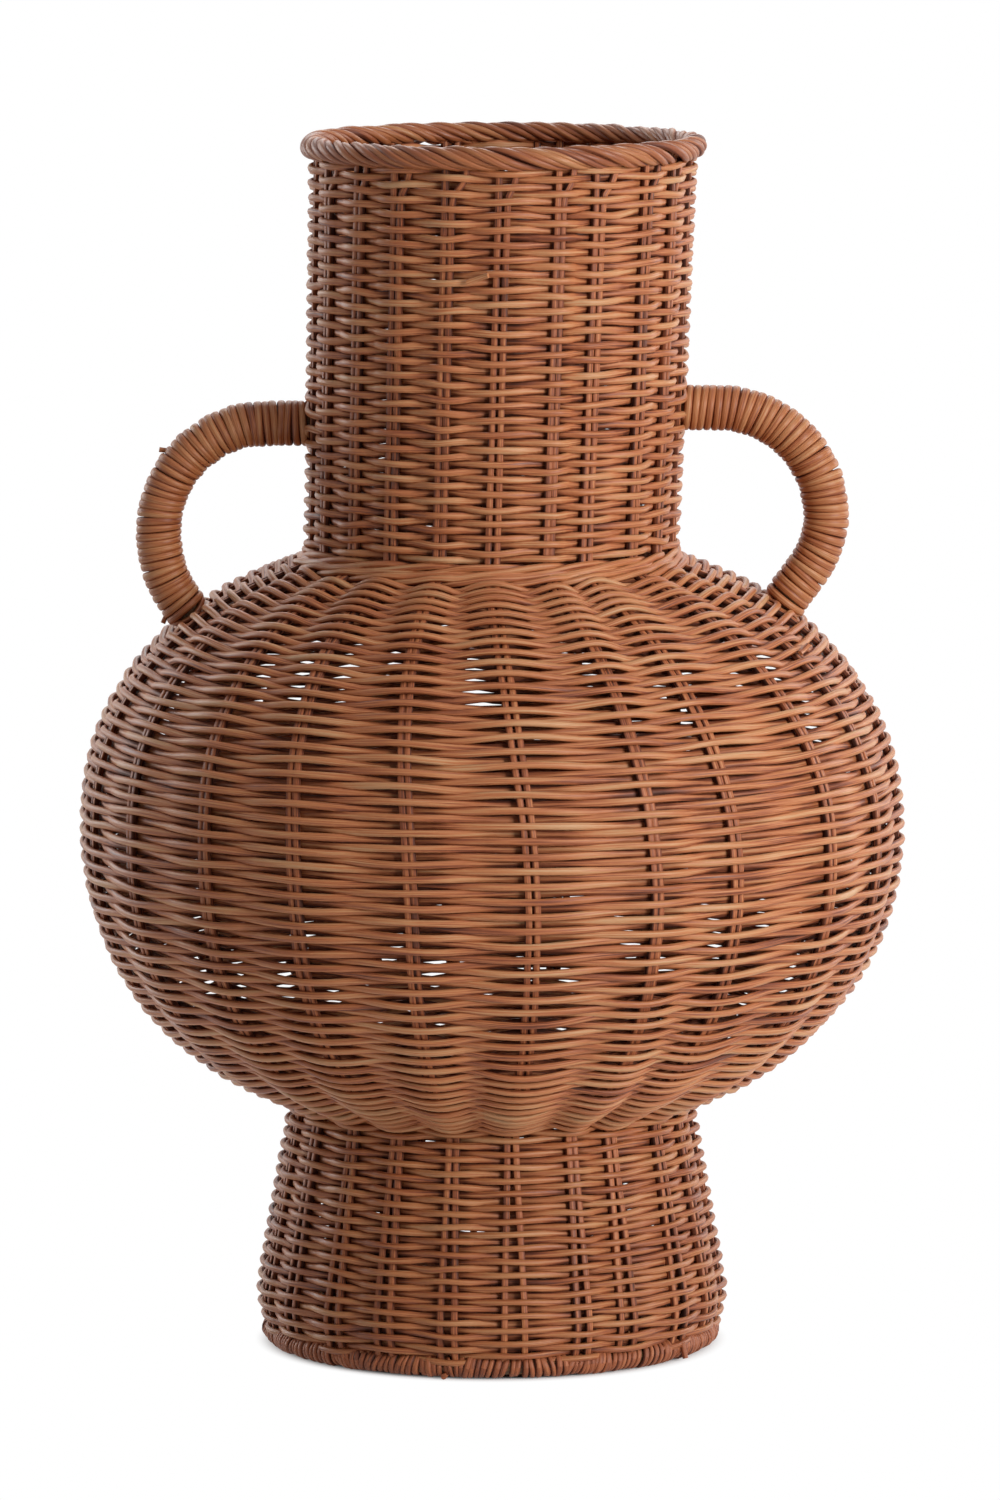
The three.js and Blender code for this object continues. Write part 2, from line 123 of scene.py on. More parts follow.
# Cut ends of strands that stand off the weave: degrees round from the right, height and slant
LOOSE_ENDS = ((-99.5, 392 * MM, 0.4), (-24.7, 255.5 * MM, 0.15))
LOOSE_END_WIDE = 2.08 * MM
LOOSE_END_THICK = 1.38 * MM
LOOSE_END_LENGTH = 7 * MM
LOOSE_END_LIFT = 2 * MM
LOOSE_END_POINTS = 6

# Painted shade in the creases: the deeper a place lies, the darker its colour, between neighbours and in
# the recesses beside the stakes. A face has a depth, and its edges lie deeper.
OPEN_FACE = -0.35
STAKE_FACE = 0.05
RIM_FACE = -0.05
WRAP_FACE = -0.15
BINDING_FACE = 0
POLE_FACE = -1
HIDDEN_FACE = 0.34  # of a strand where it lies on the other side of the wall, painted dark in the recesses
EDGE_REACH = 0.85  # how much deeper the edges lie
PAINTED_SHADE_START = 0.2  # depth where the painted shade starts
PAINTED_SHADE_FULL = 0.95
INNER_FACE = 0.1  # share of half its thickness where a strand's inner face starts

# Rim
RIM_CANES = 78
RIM_CANE = 3 * MM
RIM_CANE_TAPER = 0.2  # how much thinner it is at its ends
RIM_CANE_POINTS = 48
RIM_CANE_TURN = 8.8  # canes side by side round the roll
RIM_TURN_VARIES = 0.08  # share by which that varies
RIM_CANE_START = math.radians(232)  # on the roll's section: 0 is outside, a quarter turn is the top
RIM_CANE_PAST = 0.1  # share of a turn by which a cane goes on inside the roll at either end
RIM_CANE_RISE = (-0.16, 0.1)  # shares of a turn where it comes up out of the roll
RIM_PAIR = 0.9  # way to the second cane of a pair, by the way to the next cane
RIM_PAIR_STRAY = 0.22  # in the same measure
RIM_PAIR_LIFT = 0.05  # share of the roll
RIM_STEP = 0.5 * MM  # how far the second cane of a pair lies below the first
RIM_FLATNESS = 0.86  # height of the roll by its width

# Handles
POLE_SIDES = 20
WRAP_TURNS = 40
WRAP_THICK = 2.8 * MM
WRAP_OVERLAP = 1.1  # width of a turn by the way to the next
WRAP_SQUARENESS = 2.6
WRAP_SIDES = 12
WRAP_STEPS = 20  # in a turn
WRAP_START = 4.2 * MM  # how far the first turn reaches into the weave of the neck
WRAP_UNEVEN = 0.08  # share of a turn
WRAP_BUMP = 0.12 * MM  # how far one turn rides up on another
WRAP_REPEAT = 8 * WRAP_TURNS  # turns after which the unevenness would come again
WRAP_WAVES = (180, 420)  # of the unevenness, in that many turns
OPEN_TURNS = 1.2  # last turns, that go on down over the bare pole
OPEN_LENGTH = 4 * MM
CUT_ENDS = {"left": (0.47, 0.98), "right": ()}  # shares of the way down a handle
CUT_END = 1.8 * MM
CUT_END_THICK = 1.26 * MM
CUT_END_LENGTH = 3 * MM
CUT_END_SLANT = 0.6  # along the pole by out
LASHING = 2.2 * MM
LASHING_TILT = 3.5 * MM  # how far it slants along the pole

# Foot
HOOP_SIDES = 12
BINDING_TURNS = 11  # between two stakes
BINDING_WIDTHS = (1.92 * MM, 3 * MM)
BINDING_THICK = 1.8 * MM
BINDING_SIZES = (0.88, 1.04)  # of a turn, by the size of the CAD binding
BINDING_STEPS = 20  # in a turn
BINDING_SIDES = 6
BINDING_STRAY = 0.012  # share of the way to the next stake
BINDING_SLANT = 0.15  # sideways by up, on the outside of a turn
BINDING_SLANT_CHANGE = 0.3  # from bundle to bundle and within one
BINDING_SLANT_STRAY = 0.12
BUNDLE_DIP = 0.16  # how much smaller a bundle is at its ends
PEG = 2.1 * MM
PEG_LEAN = 1 / 6  # how far out a peg leans, by the height of its upper end

# Pegs of the foot hoop: degrees round from the right, then where the upper end lies, by its
# distance out from the hoop's middle (1 is the binding's) and its height
PEGS = ((-101.7, 0, 1.05 * MM), (-34, 1.1, 6.5 * MM))

# Floor of the vase
SPOKE = 3 * MM
SPOKE_POINTS = 12
FLOOR_STEPS = 6  # of a row, between two spokes
FLOOR_SIDES = 6
FLOOR_HOLE = 3 * MM  # radius in the middle without rows
FLOOR_FLAT = (4 * MM, 26 * MM)  # rows are flat inside the first radius and woven from the second

# Stained rattan: shades from dark to light, as 0 to 255 on screen
# The darkest colour, a painted shade for the creases
PAINTED_SHADE_COLOUR = (60, 27, 14)
WEAVE_SHADES = [(121, 60, 34), (164, 94, 56), (183, 114, 71), (192, 134, 90), (196, 150, 109)]
DARKER_SHADES = [(110, 53, 30), (151, 84, 49), (169, 103, 61), (180, 121, 78), (187, 136, 94)]
RIM_SHADES = [(100, 48, 27), (142, 78, 46), (161, 96, 57), (174, 114, 72), (183, 131, 88)]
STAKE_SHADES = [(108, 55, 32), (154, 86, 52), (177, 107, 66), (193, 129, 83)]
BINDING_SHADES = [(96, 47, 28), (140, 77, 47), (163, 95, 60), (181, 115, 75)]
POLE_SHADES = [(84, 58, 34), (120, 86, 52), (144, 110, 70), (160, 128, 88)]
PAINTED_SHADE_STOP = 0.15  # where the painted crease shade stands between 0 and 1
FIRST_STOP = 0.4  # where the darkest of the other shades stands
USUAL_STOP = 0.7  # where most of a strand lies
STREAK_RATE = 45  # changes in a metre along the fibre
STREAK_DETAIL = 3
PATCH_RATES = (16, 120, 120)  # changes in a metre along the fibre and across it
PATCH_DETAIL = 2
TONE_SHARE = 0.04  # how much a strand's own tone counts
PAINTED_SHADE_SHARE = -0.42  # how much the painted shade darkens a crease
CREASE_ROUGHNESS = 0.4
STREAK_ROUGHNESS = (-0.08, 0.16)  # what the dark and the light streaks add
BUMP_STRENGTH = 0.5
BUMP_HEIGHT = 0.3 * MM
SHINE = 0.36

# Camera, from the photograph's perspective
CAMERA_PLACE = (3.2 * MM, -3510 * MM, 675 * MM)
CAMERA_DOWN = math.radians(7.444)
CAMERA_LENS = 234  # millimetres, on the usual 36 mm sensor
CAMERA_FAR = 50

# Stage: each lamp's place, size and watts, then the surround and the stage's floor
LAMPS = {
    "key": ((2.05, -1.75, 0.95), 1.2, 65),
    "left_edge": ((-2.2, 1.8, 0.9), 1.6, 29),
    "right_edge": ((2.3, 1.7, 0.9), 1.6, 22),
    "top": ((0.3, -0.9, 2.6), 1.5, 13),
    "back": ((0, 2.4, 2.0), 1.6, 22),
}
AMBIENT = 0.06
WHITE = (1, 1, 1, 1)
STAGE_SHADE = (0.9, 0.9, 0.9, 1)
STAGE_ROUGHNESS = 0.9
STAGE_REACH = 14
STAGE_HEIGHT = -0.2 * MM
SHADOW_FADE = (76 * MM, 87 * MM)  # distances from the middle where the shadow starts and ends fading

STAKES = sorted(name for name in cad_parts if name.startswith("stake_"))
STAKE_COUNT = len(STAKES) // 2
STAKE_ANGLE = TURN / STAKE_COUNT


# Reading the CAD frame

LEVEL = 0.1 * MM  # corners this near to the outermost one lie level with it


def all_corners(node):
    return np.array([corner.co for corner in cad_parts[node].data.vertices])


class Lean:
    """The neck's lean to the right, by the height above the body."""

    def __init__(self):
        rim = all_corners("rolled_rim")
        middle = (rim.min(axis=0) + rim.max(axis=0)) / 2
        self.foot = all_corners("body_weave")[:, 2].max()
        self.slope = middle[0] / (middle[2] - self.foot)

    def shift(self, points):
        aside = np.zeros_like(points)
        aside[:, 0] = self.slope * np.maximum(points[:, 2] - self.foot, 0)
        return aside


lean = Lean()


def corners_of(node):
    """The corners of a CAD node, each once, as they would be on an upright neck."""
    corners = all_corners(node)
    return np.unique((corners - lean.shift(corners)).round(6), axis=0)


def radii(points):
    return np.hypot(points[:, 0], points[:, 1])


def bends_of(node, least_drop=3 * MM):
    """The middle of a CAD stake cane at each of its bends, from the rim down."""
    corners = corners_of(node)
    corners = corners[np.argsort(-corners[:, 2])]
    splits = np.nonzero(np.diff(corners[:, 2]) < -least_drop)[0] + 1
    return np.array([group.mean(axis=0) for group in np.split(corners, splits)])


# Lines and random changes

def unit(ways):
    return ways / np.linalg.norm(ways, axis=1)[:, None]


def curve_through(stops, steps=24):
    """Points on a smooth line through the stops."""
    slopes = np.gradient(stops, axis=0)
    share = np.linspace(0, 1, steps, endpoint=False)[:, None]
    ease = 3 * share**2 - 2 * share**3
    pieces = []
    for start, end, leave, arrive in zip(stops, stops[1:], slopes, slopes[1:]):
        bend = (share**3 - 2 * share**2 + share) * leave + (share**3 - share**2) * arrive
        pieces.append(start + (end - start) * ease + bend)
    return np.vstack(pieces + [stops[-1:]])


def lengths_along(line):
    steps = np.linalg.norm(np.diff(line, axis=0), axis=1)
    return np.concatenate([[0], np.cumsum(steps)])


def resampled(line, step, columns):
    """The line again with points a step apart, measured in its first columns."""
    lengths = lengths_along(line[:, :columns])
    stops = np.arange(0, lengths[-1], step)
    return np.column_stack([np.interp(stops, lengths, column) for column in line.T])


def softened(values, reach):
    """Values evened out over some points to either side."""
    kernel = np.exp(-0.5 * (np.arange(-2 * reach, 2 * reach + 1) / reach) ** 2)
    padded = np.pad(values, 2 * reach, mode="reflect", reflect_type="odd")
    return np.convolve(padded, kernel / kernel.sum(), "valid")


def eased(values, low, high):
    """0 up to low, 1 from high, and smooth between."""
    share = np.clip((values - low) / (high - low), 0, 1)
    return share * share * (3 - 2 * share)


def ripple(low, high):
    """A wavering line round the vase, about 1 high, made of low to high waves in a turn."""
    waves = np.arange(low, high + 1)[:, None]
    phases = rng.uniform(0, TURN, waves.shape)
    heights = rng.normal(size=waves.shape) * math.sqrt(2 / len(waves))
    return lambda turn: (heights * np.cos(waves * turn + phases)).sum(axis=0)


def near_one(share):
    """A factor that is at most a share off 1."""
    return rng.uniform(1 - share, 1 + share)


class Wall:
    """The middle surface of the woven wall. A place in it is given by stakes round the vase
    from the first stake, the distance down the wall, and the distance out from it."""

    STEP = 0.5 * MM
    SPARE = 12 * MM  # of wall above the neck and below the foot
    SOFTENING = 5  # points of its line to either side

    def __init__(self):
        pair = (bends_of(STAKES[0]) + bends_of(STAKES[1])) / 2
        angles = np.arctan2(pair[:, 1], pair[:, 0])
        self.first_angle = angles[0]
        stops = np.column_stack([radii(pair), pair[:, 2], angles - angles[0]])
        above = self.beyond(stops[0], stops[1])
        below = self.beyond(stops[-1], stops[-2])
        body = curve_through(stops[1:-2])
        line = resampled(np.vstack([above, stops[0], body, stops[-2:], below]), self.STEP, 2)
        self.radius, self.height, self.twist = (softened(column, self.SOFTENING) for column in line.T)
        self.downs = np.arange(len(line)) * self.STEP
        self.top = self.SPARE
        self.bottom = self.downs[-1] - self.SPARE
        self.set_fall()
        self.move_to_middle(stops[0][0])
        self.neck_joint = self.nearest(*stops[1][:2])
        self.belly = self.downs[np.argmax(self.radius)]
        self.waist = self.nearest(*stops[-3][:2])
        self.stray = ripple(*STAKE_WAVES)

    def beyond(self, end, before):
        """Where the wall ends when it goes on straight by its spare length."""
        away = end - before
        return end + away * self.SPARE / np.linalg.norm(away[:2])

    def set_fall(self):
        """Which way is down the wall, out and up. The last of it above the bottom turns upright."""
        line = np.column_stack([self.radius, self.height])
        self.fall_out, self.fall_up = unit(np.gradient(line, axis=0)).T
        self.fall_out = self.fall_out * (1 - eased(self.downs, self.bottom - self.SPARE, self.bottom))
        self.lobes = LOBES * self.fall_out**2

    def move_to_middle(self, stake_radius):
        """From the line of the stakes to the middle of the wall, as both are at the top."""
        neck = corners_of("neck_weave")
        top = radii(neck[neck[:, 2] > neck[:, 2].max() - LEVEL])
        sink = stake_radius - (top.max() + top.min()) / 2
        self.radius = self.radius + self.fall_up * sink
        self.height = self.height - self.fall_out * sink
        self.half = (top.max() - top.min()) / 2

    def nearest(self, radius, height):
        away = np.hypot(self.radius - radius, self.height - height)
        return self.downs[np.argmin(away)]

    def read(self, values, down):
        return np.interp(down, self.downs, values)

    def angle(self, stakes, down):
        stray = STAKE_STRAY * self.stray(stakes * STAKE_ANGLE)
        return self.first_angle + (stakes + stray) * STAKE_ANGLE + self.read(self.twist, down)

    def place(self, stakes, down, out):
        angle = self.angle(stakes, down)
        out = out + self.read(self.lobes, down) * np.cos(TURN * stakes)
        radius = self.read(self.radius, down) - self.read(self.fall_up, down) * out
        height = self.read(self.height, down) + self.read(self.fall_out, down) * out
        return np.column_stack([radius * np.cos(angle), radius * np.sin(angle), height])

    def falling(self, stakes, down):
        """Which way is down the wall at some places."""
        angle = self.angle(stakes, down)
        out, up = self.read(self.fall_out, down), self.read(self.fall_up, down)
        return np.column_stack([out * np.cos(angle), out * np.sin(angle), up])


# Strands

def section_corners(sides, squareness):
    """The corners of a strand's section, by half its width across and by half its thickness through."""
    around = np.arange(sides) * TURN / sides
    corners = np.array([np.cos(around), np.sin(around)])
    return np.sign(corners) * np.abs(corners) ** (2 / squareness)


def section_ways(path, wide, joined):
    """The ways of a strand's width and thickness, square to its path."""
    if joined:
        seam = (path[1] - path[-2])[None]
        along = unit(np.vstack([seam, path[2:] - path[:-2], seam]))
    else:
        along = unit(np.gradient(path, axis=0))
    wide = unit(wide - (wide * along).sum(axis=1)[:, None] * along)
    return wide, np.cross(along, wide)


class Strands:
    """A mesh of many strands. Each has a tone of its own, its fibre's own coordinates and a painted shade
    in its creases.
    """

    FIBRE = 40  # metres of fibre that the strands are cut from

    def __init__(self):
        self.points, self.faces, self.fibres, self.creases, self.tones = [], [], [], [], []
        self.count = 0

    def add(self, path, wide, width, thickness, sides=STRAND_SIDES, joined=False, squareness=2,
            depth=OPEN_FACE, wave=None):
        """A strand along a path. Wide is the way of its width at each point. Depth is how deep its face
        lies in the creases, which sets how dark its painted shade is, or else wave says where the strand
        goes through the wall: 1 is outside, -1 inside, and its thickness counts inwards."""
        wide, thick = section_ways(path, wide, joined)
        across, through = section_corners(sides, squareness)
        half_wide = np.broadcast_to(width / 2, len(path))[:, None] * across
        half_thick = np.broadcast_to(thickness / 2, len(path))[:, None] * through
        rings = path[:, None] + half_wide[..., None] * wide[:, None]
        rings = rings + half_thick[..., None] * thick[:, None]
        run = lengths_along(path) + rng.uniform(0, self.FIBRE)
        run = np.broadcast_to(run[:, None], half_wide.shape)
        fibres = np.stack([run, half_wide, half_thick], axis=2)
        # Painted shade: a strand darkens as it dives between its neighbours and in the recesses beside the
        # stakes, and its edges darken where neighbours touch.
        if wave is not None:
            depth = np.where(through > INNER_FACE, wave[:, None], -wave[:, None])
            depth = np.minimum(depth, HIDDEN_FACE)
        depths = np.broadcast_to(depth + EDGE_REACH * across**2, half_wide.shape)
        creases = eased(depths, PAINTED_SHADE_START, PAINTED_SHADE_FULL)
        tone = rng.normal()
        first = self.keep(rings.reshape(-1, 3), fibres.reshape(-1, 3), creases.ravel(), tone)
        self.skin(first, len(path), sides)
        if not joined:
            self.cap(rings[0][::-1], fibres[0][::-1], creases[0][::-1], tone)
            self.cap(rings[-1], fibres[-1], creases[-1], tone)

    def keep(self, points, fibres, creases, tone):
        first = self.count
        self.points.append(points + lean.shift(points))
        self.fibres.append(fibres)
        self.creases.append(creases)
        self.tones.append(np.full(len(points), tone))
        self.count += len(points)
        return first

    def skin(self, first, rings, sides):
        ring, side = np.meshgrid(np.arange(rings - 1), np.arange(sides), indexing="ij")
        here = first + ring * sides
        ahead = here + sides
        beside = (side + 1) % sides
        quads = np.stack([here + side, here + beside, ahead + beside, ahead + side], axis=2)
        self.faces += quads.reshape(-1, 4).tolist()

    def cap(self, ring, fibres, creases, tone):
        first = self.keep(ring, fibres, creases, tone)
        self.faces.append(list(range(first, first + len(ring))))

    def finish(self, name, material, slot, *nodes):
        """Makes the strands a piece of the scene, which replaces some CAD nodes."""
        mesh = bpy.data.meshes.new(name)
        mesh.from_pydata(np.vstack(self.points), [], self.faces)
        fibre = mesh.attributes.new("fibre", "FLOAT_VECTOR", "POINT")
        fibre.data.foreach_set("vector", np.vstack(self.fibres).astype(np.float32).ravel())
        # The painted shade of the creases, kept at each point.
        crease = mesh.attributes.new("crease", "FLOAT", "POINT")
        crease.data.foreach_set("value", np.concatenate(self.creases).astype(np.float32))
        tone = mesh.attributes.new("tone", "FLOAT", "POINT")
        tone.data.foreach_set("value", np.concatenate(self.tones).astype(np.float32))
        mesh.shade_smooth()
        mesh.materials.append(material)
        piece = bpy.data.objects.new(name, mesh)
        bpy.context.scene.collection.objects.link(piece)
        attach(piece, "root")
        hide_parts(*nodes)


# Weave

class Drift:
    """How far the rows stray together, and where they part for a handle or leave a gap."""

    def __init__(self, wall, holes):
        size = (DRIFT_WAVES, 1)
        self.waves = rng.integers(*DRIFT_IN_TURN, size)
        self.falls = TURN / rng.uniform(*DRIFT_LENGTHS, size) * rng.choice([-1, 1], size)
        self.phases = rng.uniform(0, TURN, size)
        gaps = np.column_stack([
            rng.uniform(0, TURN, GAPS),
            rng.uniform(wall.neck_joint + GAPS_BELOW_JOINT, wall.bottom - GAPS_ABOVE_FOOT, GAPS),
            rng.uniform(*GAP_OPENINGS, GAPS),
            rng.uniform(*GAP_LENGTHS, GAPS),
        ])
        self.wall = wall
        self.openings = np.vstack([gaps, holes])

    def shift(self, turn, down):
        together = np.cos(self.waves * turn + self.falls * down + self.phases).mean(axis=0)
        at, middle, opening, length = (column[:, None] for column in self.openings.T)
        aside = (turn - at + math.pi) % TURN - math.pi
        reach = np.exp(-((aside * self.wall.read(self.wall.radius, down) / length) ** 2))
        away = down - middle
        parted = np.sign(away) * (np.hypot(away, opening * reach) - np.abs(away))
        return ROW_DRIFT * together + parted.sum(axis=0)


def row_wobble(turn):
    return ROW_WOBBLE * ripple(*ROW_WAVES)(turn)


def row(strands, wall, drift, middle, side, height, pitch):
    """One row, outside one stake and inside the next. Side is 1 or -1 and says which."""
    start = SEAM_STAKE + (side > 0)
    stakes = start + np.arange(STAKE_COUNT * STEPS_PER_STAKE + 1) / STEPS_PER_STAKE
    turn = stakes * STAKE_ANGLE
    wave = side * np.cos(math.pi * stakes)
    wave = np.where(wave > 0, wave, -np.abs(wave) ** DIP)
    down = middle + drift.shift(turn, middle) + row_wobble(turn)
    out = (wall.half - STRAND_THICK / 2) * wave * (1 + ROW_SWING * ripple(*SWING_WAVES)(turn))
    between = STRAND_BETWEEN * pitch
    crest = np.where(wave > 0, height, STRAND_INSIDE * pitch)
    tall = between + (crest - between) * wave**2
    size = near_one(STRAND_VARIES)
    path, falling = wall.place(stakes, down, out), wall.falling(stakes, down)
    strands.add(path, falling, tall * size, STRAND_THICK * size, joined=True,
                squareness=STRAND_SQUARENESS, wave=wave)


def rows_between(start, end, pitch=ROW_PITCH):
    count = round((end - start) / pitch)
    return start + (np.arange(count) + 0.5) * (end - start) / count


def weave(wall, drift, name, downs, first_side, height, material, node):
    strands = Strands()
    pitch = downs[1] - downs[0]
    for number, down in enumerate(downs):
        row(strands, wall, drift, down, first_side * (-1) ** number, height, pitch)
    strands.finish(name, material, "rattan_weave", node)


def waling(wall, material):
    """Two bands of rope-like strands at the joint of neck and body. Each strand goes in front of all
    but one stake of its wave, slanting up to the right, then behind that one, and some rounds bring
    it back."""
    strands = Strands()
    lines = math.gcd(WALE_OVER, STAKE_COUNT)
    steps = WALE_OVER // lines * STAKE_COUNT * STEPS_PER_STAKE
    stakes = SEAM_STAKE + np.arange(steps + 1) / STEPS_PER_STAKE
    for number in range(2 * lines):
        band = number // lines
        phase = TURN * (stakes + number + band / 2) / WALE_OVER
        wave = np.tanh(WALE_SHARPNESS * (np.cos(phase) + WALE_OUTSIDE))
        out = (wall.half - STRAND_THICK / 2) * wave
        down = wall.neck_joint + WALE_BANDS * (band - 0.5) - WALE_RISE * np.sin(phase)
        down = down + row_wobble(stakes * STAKE_ANGLE)
        path, falling = wall.place(stakes, down, out), wall.falling(stakes, down)
        strands.add(path, falling, BODY_STRAND, STRAND_THICK, joined=True,
                    squareness=STRAND_SQUARENESS, wave=wave)
    strands.finish("neck_waling", material, "rattan_weave")


def loose_ends(wall, material):
    """Cut ends of strands, slanting up to the right and lifting off the weave."""
    strands = Strands()
    share = np.linspace(0, 1, LOOSE_END_POINTS)
    for degrees, height, slant in LOOSE_ENDS:
        start = wall.downs[np.argmin(np.abs(wall.height - height))]
        radius = wall.read(wall.radius, start)
        first = (math.radians(degrees) - wall.angle(np.zeros(1), start)[0]) / STAKE_ANGLE
        stakes = first + share * LOOSE_END_LENGTH / (radius * STAKE_ANGLE)
        down = start - share * slant * LOOSE_END_LENGTH
        path = wall.place(stakes, down, wall.half + LOOSE_END_LIFT * share**2)
        strands.add(path, wall.falling(stakes, down), LOOSE_END_WIDE, LOOSE_END_THICK)
    strands.finish("strand_ends", material, "rattan_weave")


def stake_canes(wall, material):
    strands = Strands()
    down = np.arange(wall.top - CANE_SPARE, wall.bottom + CANE_SPARE, CANE_STEP)
    radius = wall.read(wall.radius, down)
    for stake in range(STAKE_COUNT):
        splay = rng.uniform(*FOOT_SPLAYS) * eased(down, wall.waist, wall.bottom)
        aslant = rng.uniform(*RIM_LEANS) * (1 - eased(down, wall.top, wall.top + RIM_LEAN_LENGTH))
        for side in (-1, 1):
            aside = side * ((CANE + PAIR_GAP) / 2 + splay) + (aslant if side > 0 else 0)
            stakes = stake + aside / (radius * STAKE_ANGLE)
            sway = CANE_SWAY * ripple(*SWAY_WAVES)(down * CANE_SWAY_RATE)
            path = wall.place(stakes, down, CANE_OUT + sway)
            wide = np.cross(path * [1, 1, 0], [0, 0, 1])
            strands.add(path, wide, CANE, CANE_THICK, CANE_SIDES,
                        squareness=CANE_SQUARENESS, depth=STAKE_FACE)
    strands.finish("stake_canes", material, "rattan_stake", *STAKES)


# Rim

def rolled_rim(material):
    """Cane ends rolled over one another in pairs: up the inside, over the top and down the outside."""
    rim = corners_of("rolled_rim")
    roll = (rim[:, 2].max() - rim[:, 2].min()) / 2
    height = rim[:, 2].max() - roll * RIM_FLATNESS
    radius = radii(rim).max() - roll
    share = np.linspace(-RIM_CANE_PAST, 1 + RIM_CANE_PAST, RIM_CANE_POINTS)
    section = RIM_CANE_START - share * TURN
    risen = eased(share, *RIM_CANE_RISE) * eased(1 - share, *RIM_CANE_RISE)
    thick = RIM_CANE * (1 - RIM_CANE_TAPER + RIM_CANE_TAPER * np.sin(np.clip(share, 0, 1) * math.pi))
    strands = Strands()
    for cane in range(RIM_CANES):
        second = cane % 2
        if not second:
            pair_start = cane + rng.normal(0, RIM_PAIR_STRAY)
            pair_turn = RIM_CANE_TURN * near_one(RIM_TURN_VARIES)
            pair_lift = rng.normal(0, RIM_PAIR_LIFT)
        around = (pair_start + RIM_PAIR * second + share * pair_turn) * TURN / RIM_CANES
        lay = (roll - RIM_CANE / 2) * risen * (1 + pair_lift) - RIM_STEP * second
        out = radius + lay * np.cos(section)
        up = height + RIM_FLATNESS * lay * np.sin(section)
        path = np.column_stack([out * np.cos(around), out * np.sin(around), up])
        across = -np.sin(section)
        wide = np.column_stack([across * np.cos(around), across * np.sin(around), np.cos(section)])
        strands.add(path, wide, thick, thick, depth=RIM_FACE)
    strands.finish("rim_canes", material, "rattan_rim", "rolled_rim")


# Handles

class Handle:
    """The bent pole of a handle, by the distance along it from inside the neck."""

    SIDEWAYS = np.array([0, 1, 0])
    STEP = 0.5 * MM
    SOFTENING = 6  # points of its line to either side

    def __init__(self, name):
        self.name = name
        self.side = -1 if name == "left" else 1
        core = corners_of(f"{name}_handle_core")
        self.thickness = core[:, 1].max() - core[:, 1].min()
        crest = core[core[:, 1] > core[:, 1].max() - LEVEL]
        self.line = resampled(curve_through(self.in_order(crest * [1, 0, 1])), self.STEP, 3)
        self.runs = lengths_along(self.line)
        wrap = [self.nearest(corner) for corner in corners_of(f"{name}_handle_wrap") * [1, 0, 1]]
        self.start, self.end = min(wrap), max(wrap)

    @staticmethod
    def in_order(points):
        """Points of the line from the neck on, each next to the one before."""
        left = list(points)
        chain = [left.pop(int(np.argmax([point[2] - abs(point[0]) for point in left])))]
        while left:
            away = [np.linalg.norm(point - chain[-1]) for point in left]
            chain.append(left.pop(int(np.argmin(away))))
        return np.array(chain)

    def nearest(self, point):
        away = np.linalg.norm(self.line - point, axis=1)
        return self.runs[np.argmin(away)]

    def place(self, run):
        """The pole's middle at some distances along it, its direction and the way out of its bend."""
        middle = np.column_stack([np.interp(run, self.runs, column) for column in self.line.T])
        ways = [softened(column, self.SOFTENING) for column in np.gradient(self.line, axis=0).T]
        along = unit(np.column_stack([np.interp(run, self.runs, column) for column in ways]))
        return middle, along, np.cross(along, self.SIDEWAYS) * self.side

    def curving(self, run):
        """How sharply the pole bends, as 1 over the bend's radius."""
        ways = np.gradient(self.line, self.runs, axis=0)
        bends = np.linalg.norm(np.gradient(ways, self.runs, axis=0), axis=1)
        return np.interp(run, self.runs, softened(bends, 2 * self.SOFTENING))

    def round_it(self, run, turns, radius):
        middle, along, out = self.place(run)
        angle = (turns * TURN)[:, None]
        return middle + radius * (np.cos(angle) * out + np.sin(angle) * self.SIDEWAYS), along


def handle_pole(handle, material):
    strands = Strands()
    wide = np.broadcast_to(Handle.SIDEWAYS, handle.line.shape)
    strands.add(handle.line, wide, handle.thickness, handle.thickness, POLE_SIDES, depth=POLE_FACE)
    strands.finish(f"{handle.name}_handle_pole", material, "rattan_pole", f"{handle.name}_handle_core")


def winding(strands, handle, start, radius):
    """One split cane wound edge to edge, the last turns open and going down over the bare pole."""
    turns = np.arange(0, (WRAP_TURNS + OPEN_TURNS) * WRAP_STEPS + 1) / WRAP_STEPS
    pitch = (handle.end - OPEN_LENGTH - start) / WRAP_TURNS
    slow_turn = turns * TURN / WRAP_REPEAT
    uneven = WRAP_UNEVEN * pitch * ripple(*WRAP_WAVES)(slow_turn)
    run = start + pitch / 2 + pitch * turns + uneven
    run = run + (OPEN_LENGTH / OPEN_TURNS - pitch) * np.clip(turns - WRAP_TURNS, 0, None)
    bumps = WRAP_BUMP * ripple(*WRAP_WAVES)(slow_turn)
    path, along = handle.round_it(run, turns, (radius + bumps)[:, None])
    spread = 1 + handle.curving(run) * radius * np.cos(turns * TURN)
    strands.add(path, along, WRAP_OVERLAP * pitch * spread, WRAP_THICK, WRAP_SIDES,
                squareness=WRAP_SQUARENESS, depth=WRAP_FACE)


def lashing(strands, handle, radius):
    turn = np.linspace(0, 1, 2 * WRAP_STEPS + 1)
    slanted = handle.end - LASHING_TILT * np.sin(turn * TURN)
    path, along = handle.round_it(slanted, turn, radius)
    strands.add(path, along, LASHING, LASHING, joined=True)


